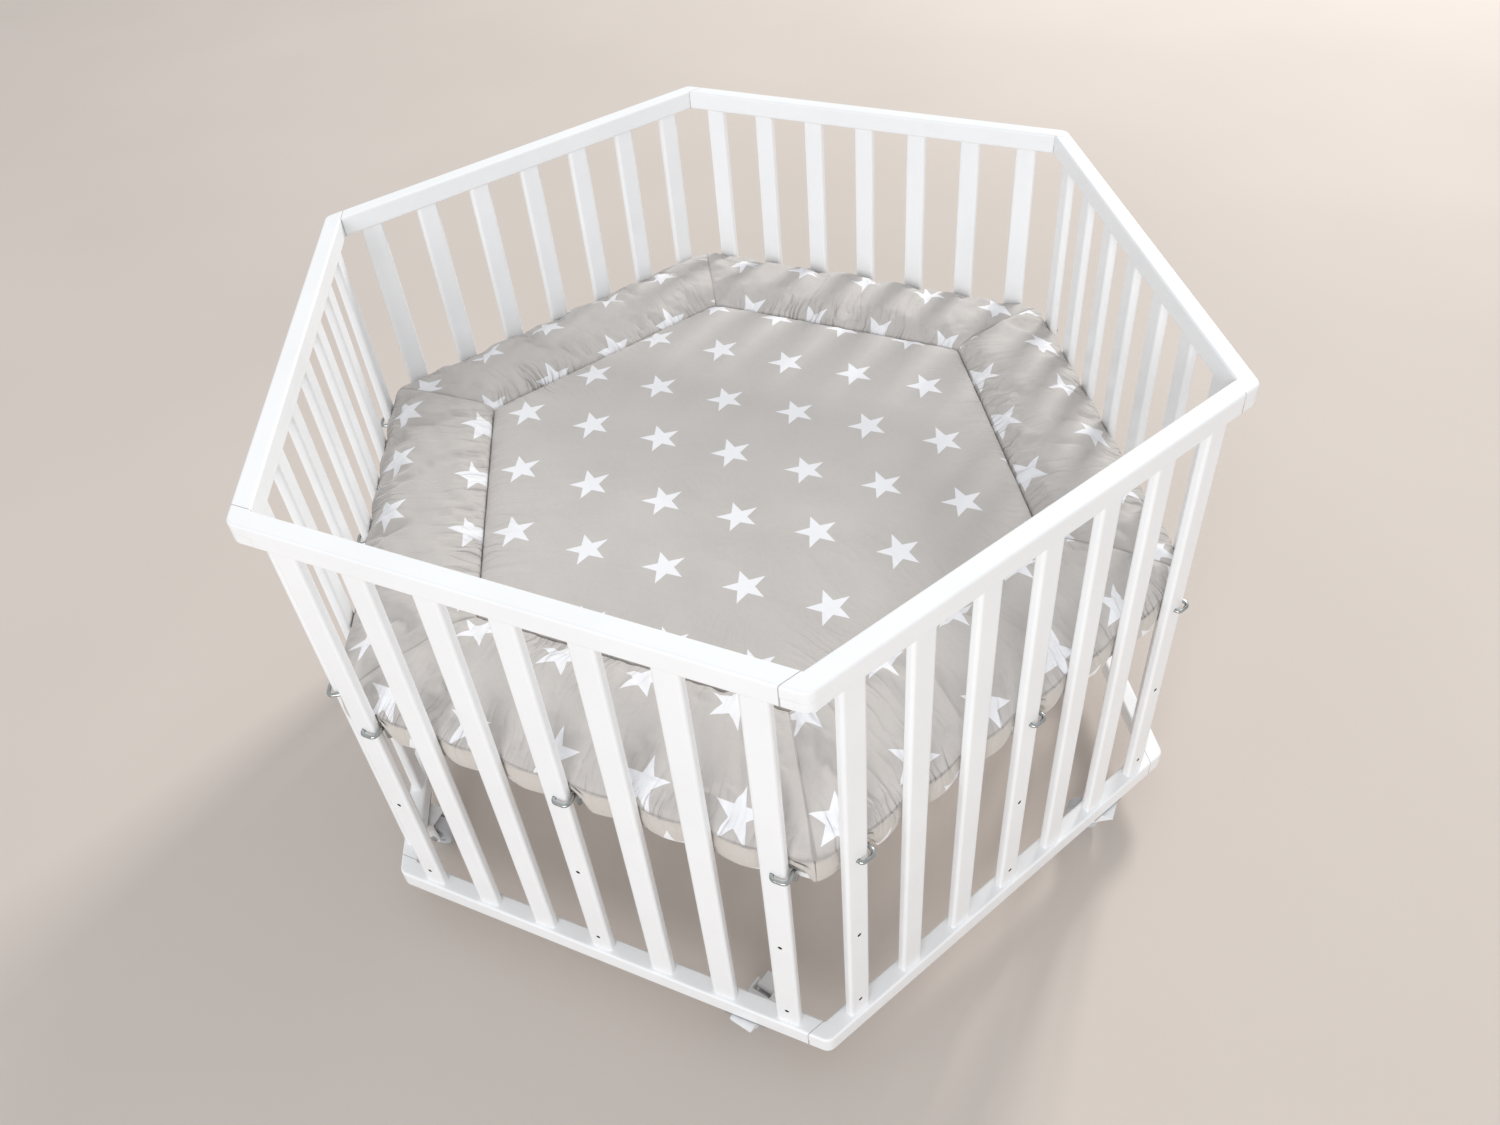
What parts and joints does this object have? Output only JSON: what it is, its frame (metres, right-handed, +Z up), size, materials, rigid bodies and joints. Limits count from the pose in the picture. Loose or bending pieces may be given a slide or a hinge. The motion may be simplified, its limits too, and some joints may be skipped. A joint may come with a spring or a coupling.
{
  "type": "playpen",
  "caption": "Hexagonal slatted wooden playpen with lapped corners, a hook-on height-adjustable floor, a padded insert and swivel castors, some with brakes.",
  "frame": {"origin": "middle of the hexagon at the ground, under the castor wheels", "axes": "+Z up; +Y towards one corner of the hexagon; +X out through the middle of panel 1"},
  "size_m": [1.0548, 1.1856, 0.726],
  "materials": {
    "white_lacquer": "satin lacquer",
    "floor_board": "satin lacquer",
    "insert_cloth": "woven",
    "hook_wire": "polished",
    "zinc": "zinc plated",
    "clip_plastic": "satin",
    "castor_hood": "powder coated",
    "castor_wheel": "satin"
  },
  "bodies": {
    "frame": {"top_rail_1": "white_lacquer", "top_rail_2": "white_lacquer", "top_rail_3": "white_lacquer", "top_rail_4": "white_lacquer", "top_rail_5": "white_lacquer", "top_rail_6": "white_lacquer", "bottom_rail_1": "white_lacquer", "bottom_rail_2": "white_lacquer", "bottom_rail_3": "white_lacquer", "bottom_rail_4": "white_lacquer", "bottom_rail_5": "white_lacquer", "bottom_rail_6": "white_lacquer", "slats_1": "white_lacquer", "slats_2": "white_lacquer", "slats_3": "white_lacquer", "slats_4": "white_lacquer", "slats_5": "white_lacquer", "slats_6": "white_lacquer", "corner_bolts": "zinc", "corner_inserts": "zinc", "castor_plate_1": "zinc", "castor_plate_2": "zinc", "castor_plate_3": "zinc", "castor_plate_4": "zinc", "castor_plate_5": "zinc", "castor_plate_6": "zinc", "plate_screws": "zinc", "swivel_pins": "zinc"},
    "floor": {"floor_board_back": "floor_board", "floor_board_front": "floor_board", "floor_batten_1": "white_lacquer", "floor_batten_2": "white_lacquer", "floor_batten_3": "white_lacquer", "batten_screws": "zinc", "floor_hooks": "hook_wire", "hook_clips": "clip_plastic", "clip_screws": "zinc", "insert_pad": "insert_cloth"},
    "castor_1": {"castor_fork_1": "castor_hood", "castor_axle_1": "zinc"},
    "wheel_1": {"castor_wheel_1": "castor_wheel"},
    "lever_1": {"brake_lever_1": "castor_hood"},
    "castor_2": {"castor_fork_2": "castor_hood", "castor_axle_2": "zinc"},
    "wheel_2": {"castor_wheel_2": "castor_wheel"},
    "castor_3": {"castor_fork_3": "castor_hood", "castor_axle_3": "zinc"},
    "wheel_3": {"castor_wheel_3": "castor_wheel"},
    "lever_3": {"brake_lever_3": "castor_hood"},
    "castor_4": {"castor_fork_4": "castor_hood", "castor_axle_4": "zinc"},
    "wheel_4": {"castor_wheel_4": "castor_wheel"},
    "castor_5": {"castor_fork_5": "castor_hood", "castor_axle_5": "zinc"},
    "wheel_5": {"castor_wheel_5": "castor_wheel"},
    "lever_5": {"brake_lever_5": "castor_hood"},
    "castor_6": {"castor_fork_6": "castor_hood", "castor_axle_6": "zinc"},
    "wheel_6": {"castor_wheel_6": "castor_wheel"}
  },
  "joints": [
    {"name": "floor_height", "type": "slide", "parent": "frame", "child": "floor", "axis": [0, 0, 1], "range_m": [-0.3, 0]},
    {"name": "swivel_1", "type": "hinge", "parent": "frame", "child": "castor_1", "pos_m": [0.50428, 0.1905, 0], "axis": [0, 0, 1], "continuous": true},
    {"name": "wheel_spin_1", "type": "hinge", "parent": "castor_1", "child": "wheel_1", "pos_m": [0.48523, 0.1795, 0.022], "axis": [0.5, -0.866, 0], "continuous": true},
    {"name": "brake_1", "type": "hinge", "parent": "castor_1", "child": "lever_1", "pos_m": [0.47138, 0.1715, 0.044], "axis": [-0.5, 0.866, 0], "range_deg": [0, 30]},
    {"name": "swivel_2", "type": "hinge", "parent": "frame", "child": "castor_2", "pos_m": [0.08717, 0.53197, 0], "axis": [0, 0, 1], "continuous": true},
    {"name": "wheel_spin_2", "type": "hinge", "parent": "castor_2", "child": "wheel_2", "pos_m": [0.06591, 0.52628, 0.022], "axis": [0.2588, -0.9659, 0], "continuous": true},
    {"name": "swivel_3", "type": "hinge", "parent": "frame", "child": "castor_3", "pos_m": [-0.41712, 0.34147, 0], "axis": [0, 0, 1], "continuous": true},
    {"name": "wheel_spin_3", "type": "hinge", "parent": "castor_3", "child": "wheel_3", "pos_m": [-0.40298, 0.32462, 0.022], "axis": [0.766, 0.6428, 0], "continuous": true},
    {"name": "brake_3", "type": "hinge", "parent": "castor_3", "child": "lever_3", "pos_m": [-0.39269, 0.31236, 0.044], "axis": [-0.766, -0.6428, 0], "range_deg": [0, 30]},
    {"name": "swivel_4", "type": "hinge", "parent": "frame", "child": "castor_4", "pos_m": [-0.50428, -0.1905, 0], "axis": [0, 0, 1], "continuous": true},
    {"name": "wheel_spin_4", "type": "hinge", "parent": "castor_4", "child": "wheel_4", "pos_m": [-0.48523, -0.2015, 0.022], "axis": [0.5, 0.866, 0], "continuous": true},
    {"name": "swivel_5", "type": "hinge", "parent": "frame", "child": "castor_5", "pos_m": [-0.08717, -0.53197, 0], "axis": [0, 0, 1], "continuous": true},
    {"name": "wheel_spin_5", "type": "hinge", "parent": "castor_5", "child": "wheel_5", "pos_m": [-0.07273, -0.51537, 0.022], "axis": [-0.7547, 0.6561, 0], "continuous": true},
    {"name": "brake_5", "type": "hinge", "parent": "castor_5", "child": "lever_5", "pos_m": [-0.06223, -0.5033, 0.044], "axis": [0.7547, -0.6561, 0], "range_deg": [0, 30]},
    {"name": "swivel_6", "type": "hinge", "parent": "frame", "child": "castor_6", "pos_m": [0.41712, -0.34147, 0], "axis": [0, 0, 1], "continuous": true},
    {"name": "wheel_spin_6", "type": "hinge", "parent": "castor_6", "child": "wheel_6", "pos_m": [0.39867, -0.32949, 0.022], "axis": [-0.5446, -0.8387, 0], "continuous": true}
  ]
}
